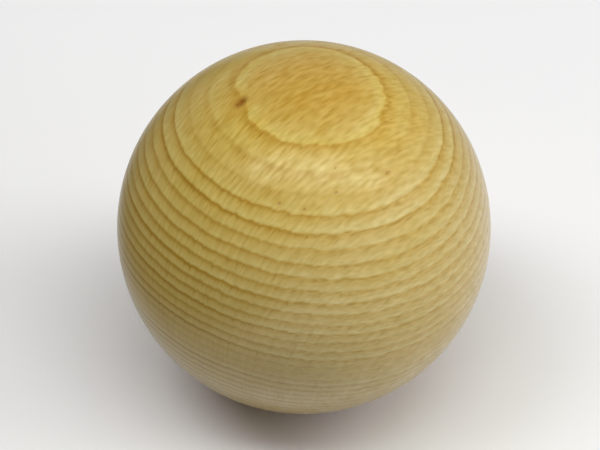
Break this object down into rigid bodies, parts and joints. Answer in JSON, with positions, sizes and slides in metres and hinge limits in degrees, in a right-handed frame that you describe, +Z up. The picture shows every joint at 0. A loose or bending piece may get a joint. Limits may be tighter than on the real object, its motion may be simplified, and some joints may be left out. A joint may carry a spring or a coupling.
{
  "type": "wooden ball",
  "caption": "Solid turned wooden ball with a clear lacquered finish, for a knob, a handle end, a rolling weight or a display piece.",
  "frame": {"origin": "centre of the ball", "axes": "+Z up, away from the place it is held at; +X to the right and +Y away from the front view"},
  "size_m": [0.08, 0.08, 0.08],
  "materials": {
    "beech": "clear satin lacquer over turned beech"
  },
  "bodies": {
    "root": {"ball": "beech"}
  },
  "joints": []
}
